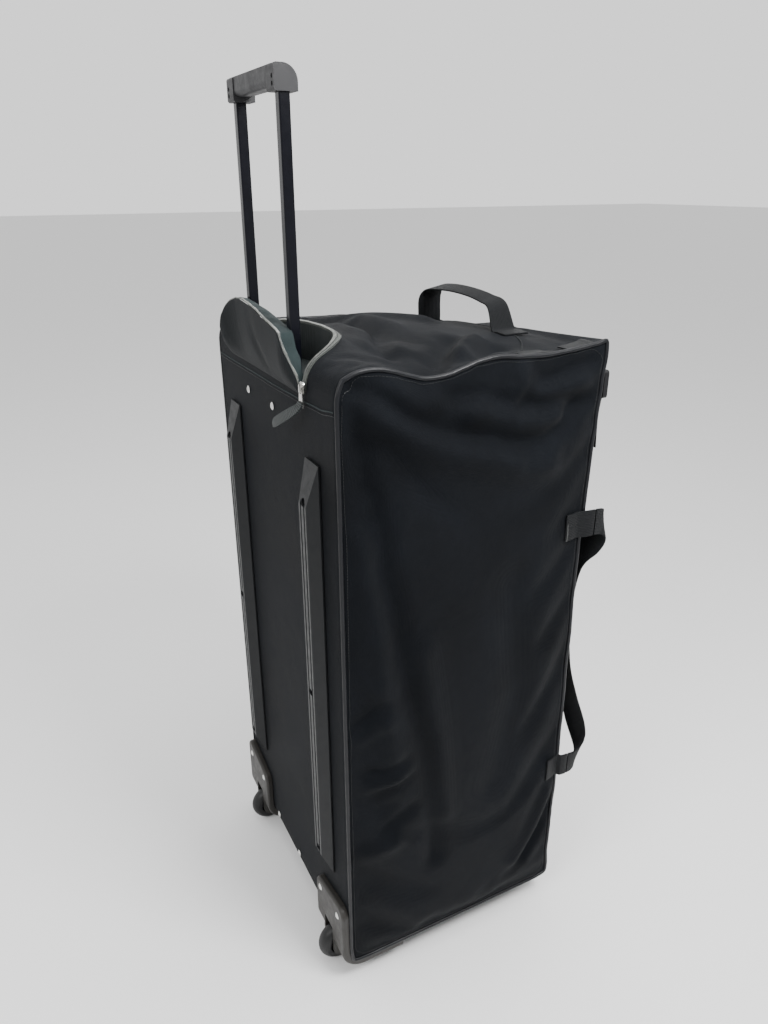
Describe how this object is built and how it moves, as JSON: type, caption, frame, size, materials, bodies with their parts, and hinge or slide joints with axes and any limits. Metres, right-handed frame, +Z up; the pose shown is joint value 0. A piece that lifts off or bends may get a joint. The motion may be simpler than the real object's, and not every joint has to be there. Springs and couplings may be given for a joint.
{
  "type": "rolling duffel bag",
  "caption": "Tall upright rolling duffel bag with a telescopic handle in a zipped pocket, skid rails, covered wheels and webbing carry handles.",
  "frame": {"origin": "on the floor under the middle of the bag", "axes": "+Z up; the back with the wheels and handle faces +Y, the zipped front faces -Y; X runs across, left is -X"},
  "size_m": [0.4482, 0.4329, 1.214],
  "materials": {
    "shell_cloth": "coated woven polyester, matt",
    "top_cloth": "grey green coated cloth",
    "lining_cloth": "thin woven lining",
    "binding": "woven binding tape",
    "webbing": "woven nylon webbing",
    "welt": "smooth extruded welt cord",
    "zip_metal": "plated die-cast zinc",
    "board": "extruded stiffener board",
    "tube_paint": "gloss black coated aluminium tube",
    "bracket_plastic": "moulded nylon",
    "rivet_steel": "plated steel",
    "spring_steel": "hard drawn wire",
    "grip_plastic": "satin grey moulded plastic",
    "rail_plastic": "grey extruded skid rail",
    "housing_plastic": "satin grey moulded housing",
    "tyre_rubber": "black wheel tread",
    "core_plastic": "moulded wheel core",
    "screw_steel": "dark plated screws",
    "foot_plastic": "moulded foot"
  },
  "bodies": {
    "bag": {"back_panel": "shell_cloth", "top_panel": "top_cloth", "bottom_panel": "shell_cloth", "front_panel_left": "shell_cloth", "front_panel_right": "shell_cloth", "side_panel_left": "shell_cloth", "side_panel_right": "shell_cloth", "piping_left": "welt", "piping_right": "welt", "main_zip_tape": "webbing", "pocket_lining": "lining_cloth", "pocket_zip_tape": "binding", "pocket_zip_slider": "zip_metal", "back_board": "board", "base_board": "board", "outer_tube_left": "tube_paint", "outer_tube_right": "tube_paint", "upper_tube_bracket": "bracket_plastic", "lower_tube_bracket": "bracket_plastic", "bracket_rivets": "rivet_steel", "skid_rail_left": "rail_plastic", "skid_rail_right": "rail_plastic", "rail_screws": "screw_steel", "wheel_housing_left": "housing_plastic", "wheel_housing_right": "housing_plastic", "housing_rivets": "rivet_steel", "axle_left": "rivet_steel", "axle_right": "rivet_steel", "axle_spacers": "spring_steel", "front_foot_left": "foot_plastic", "front_foot_right": "foot_plastic", "carry_patches_left": "webbing", "carry_patches_right": "webbing", "grab_handle": "webbing", "top_patches": "webbing", "compression_straps": "webbing", "strap_buckles": "core_plastic"},
    "telescopic_handle": {"inner_tube_left": "tube_paint", "inner_tube_right": "tube_paint", "tube_catch_left": "bracket_plastic", "tube_catch_right": "bracket_plastic", "catch_pins": "spring_steel", "catch_springs": "spring_steel", "grip_front_half": "grip_plastic", "grip_back_half": "grip_plastic", "grip_screws": "screw_steel"},
    "wheel_left": {"tyre_left": "tyre_rubber", "wheel_core_left": "core_plastic", "wheel_bearings_left": "spring_steel"},
    "wheel_right": {"tyre_right": "tyre_rubber", "wheel_core_right": "core_plastic", "wheel_bearings_right": "spring_steel"},
    "pocket_flap": {"pocket_flap": "top_cloth", "flap_zip_tape": "webbing"},
    "pocket_pull": {"pocket_zip_pull": "zip_metal", "pocket_pull_tab": "webbing"},
    "main_slider": {"main_zip_slider": "zip_metal"},
    "main_pull": {"main_zip_pull": "zip_metal"},
    "carry_handle_left": {"carry_loop_left": "webbing"},
    "carry_handle_right": {"carry_loop_right": "webbing"}
  },
  "joints": [
    {"name": "handle_slide", "type": "slide", "parent": "bag", "child": "telescopic_handle", "axis": [0, 0, 1], "range_m": [-0.3075, 0]},
    {"name": "wheel_left_spin", "type": "hinge", "parent": "bag", "child": "wheel_left", "pos_m": [-0.16, 0.18, 0.032], "axis": [1, 0, 0], "continuous": true},
    {"name": "wheel_right_spin", "type": "hinge", "parent": "bag", "child": "wheel_right", "pos_m": [0.16, 0.18, 0.032], "axis": [1, 0, 0], "continuous": true},
    {"name": "flap_fold", "type": "hinge", "parent": "bag", "child": "pocket_flap", "pos_m": [0, 0.1865, 0.8783], "axis": [-1, 0, 0], "range_deg": [0, 90]},
    {"name": "pocket_pull_lift", "type": "hinge", "parent": "bag", "child": "pocket_pull", "pos_m": [-0.1305, 0.18965, 0.8886], "axis": [1, 0, 0], "range_deg": [0, 100]},
    {"name": "main_slider_run", "type": "slide", "parent": "bag", "child": "main_slider", "axis": [0, 0, 1], "range_m": [-0.76, 0]},
    {"name": "main_pull_lift", "type": "hinge", "parent": "main_slider", "child": "main_pull", "pos_m": [0, -0.18945, 0.8626], "axis": [-1, 0, 0], "range_deg": [0, 100]},
    {"name": "carry_left_swing", "type": "hinge", "parent": "bag", "child": "carry_handle_left", "pos_m": [-0.222, -0.186, 0.478], "axis": [0, 0, 1], "range_deg": [-100, 0]},
    {"name": "carry_right_swing", "type": "hinge", "parent": "bag", "child": "carry_handle_right", "pos_m": [0.222, -0.186, 0.478], "axis": [0, 0, 1], "range_deg": [0, 100]}
  ]
}
